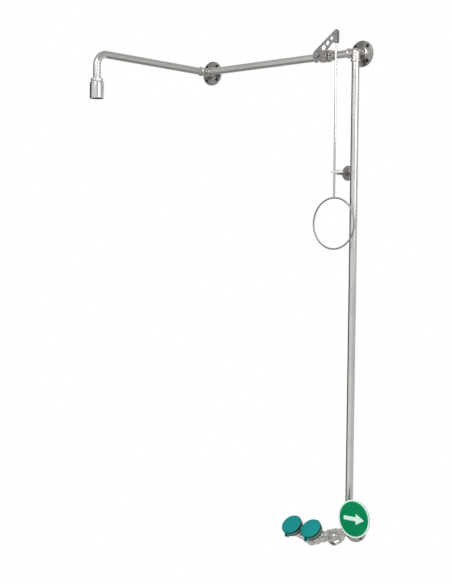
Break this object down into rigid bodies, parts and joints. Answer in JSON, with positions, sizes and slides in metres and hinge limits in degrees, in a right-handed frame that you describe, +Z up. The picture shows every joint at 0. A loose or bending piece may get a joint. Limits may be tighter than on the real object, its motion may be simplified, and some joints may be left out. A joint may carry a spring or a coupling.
{
  "type": "wall-mounted body shower and eyewash",
  "caption": "Wall-mounted emergency pipework: a pull-ring shower on a bent arm above, and a push-plate eyewash with capped spray heads below.",
  "frame": {"origin": "centre of the supply flange's back face, on the wall", "axes": "+X right along the wall as seen from the room, +Y into the wall, +Z up"},
  "size_m": [0.7415, 0.5014, 1.4415],
  "materials": {
    "stainless_tube": "satin",
    "cast_stainless": "cast, lightly brushed",
    "bright_steel": "polished",
    "grey_lever_steel": "matt grey",
    "teal_cap_plastic": "semi-gloss",
    "dark_green_plastic": "matt",
    "sign_green": "satin paint",
    "white_nylon": "satin",
    "black_plastic": "matt"
  },
  "bodies": {
    "fixed_plumbing": {"aerator_left": "bright_steel", "aerator_right": "bright_steel", "eyewash_feed_pipe": "stainless_tube", "eyewash_gland_nut": "bright_steel", "eyewash_tee": "cast_stainless", "eyewash_valve_body": "cast_stainless", "eyewash_valve_end_piece": "cast_stainless", "eyewash_valve_seat_a": "white_nylon", "eyewash_valve_seat_b": "white_nylon", "flow_regulator": "black_plastic", "guide_eye": "white_nylon", "guide_flange": "grey_lever_steel", "guide_tube": "grey_lever_steel", "left_corner_fitting": "cast_stainless", "left_support_flange": "cast_stainless", "left_support_nipple": "stainless_tube", "lower_corner_fitting": "cast_stainless", "lower_support_flange": "cast_stainless", "lower_support_nipple": "stainless_tube", "nozzle_arm_left": "cast_stainless", "nozzle_arm_right": "cast_stainless", "push_lever_pivot_screw": "bright_steel", "riser_pipe": "stainless_tube", "shower_arm": "stainless_tube", "shower_gland_nut": "bright_steel", "shower_head_nut": "bright_steel", "shower_head_shell": "bright_steel", "shower_valve_body": "cast_stainless", "shower_valve_end_piece": "cast_stainless", "shower_valve_seat_a": "white_nylon", "shower_valve_seat_b": "white_nylon", "spray_head_left": "dark_green_plastic", "spray_head_right": "dark_green_plastic", "spray_plate": "black_plastic", "supply_flange": "cast_stainless", "supply_nipple": "stainless_tube", "tee_feed_pipe": "stainless_tube", "upper_corner_fitting": "cast_stainless", "valve_feed_pipe": "stainless_tube", "wall_pipe": "stainless_tube"},
    "shower_lever": {"pull_lever": "grey_lever_steel", "shower_valve_ball": "bright_steel", "shower_valve_stem": "bright_steel", "shower_lever_nut": "bright_steel", "fork_pin": "bright_steel", "fork_pin_clip": "bright_steel"},
    "pull_rod_and_ring": {"rod_fork": "grey_lever_steel", "pull_rod": "stainless_tube", "pull_ring": "stainless_tube"},
    "push_lever_arm": {"push_lever": "cast_stainless", "push_plate": "sign_green", "plate_rivet": "bright_steel", "eyewash_valve_ball": "bright_steel", "eyewash_valve_stem": "bright_steel", "eyewash_lever_nut": "bright_steel"},
    "left_dust_cap": {"dust_cap_left": "teal_cap_plastic", "cap_pin_left": "bright_steel"},
    "right_dust_cap": {"dust_cap_right": "teal_cap_plastic", "cap_pin_right": "bright_steel"}
  },
  "joints": [
    {"name": "shower_lever_turn", "type": "hinge", "parent": "fixed_plumbing", "child": "shower_lever", "pos_m": [-0.108, -0.068, 0], "axis": [0, 1, 0], "range_deg": [0, 80]},
    {"name": "rod_hang", "type": "hinge", "parent": "shower_lever", "child": "pull_rod_and_ring", "pos_m": [-0.04193, -0.068, 0.05505], "axis": [0, 1, 0], "range_deg": [-80, 0]},
    {"name": "push_lever_turn", "type": "hinge", "parent": "fixed_plumbing", "child": "push_lever_arm", "pos_m": [0, -0.115, -1.34], "axis": [-1, 0, 0], "range_deg": [0, 90]},
    {"name": "left_cap_hinge", "type": "hinge", "parent": "fixed_plumbing", "child": "left_dust_cap", "pos_m": [-0.033, -0.26655, -1.32183], "axis": [1, 0, 0], "range_deg": [0, 140]},
    {"name": "right_cap_hinge", "type": "hinge", "parent": "fixed_plumbing", "child": "right_dust_cap", "pos_m": [0.033, -0.26655, -1.32183], "axis": [1, 0, 0], "range_deg": [0, 140]}
  ],
  "couplings": [
    {"joint": "rod_hang", "follows": "shower_lever_turn", "ratio": -1}
  ]
}
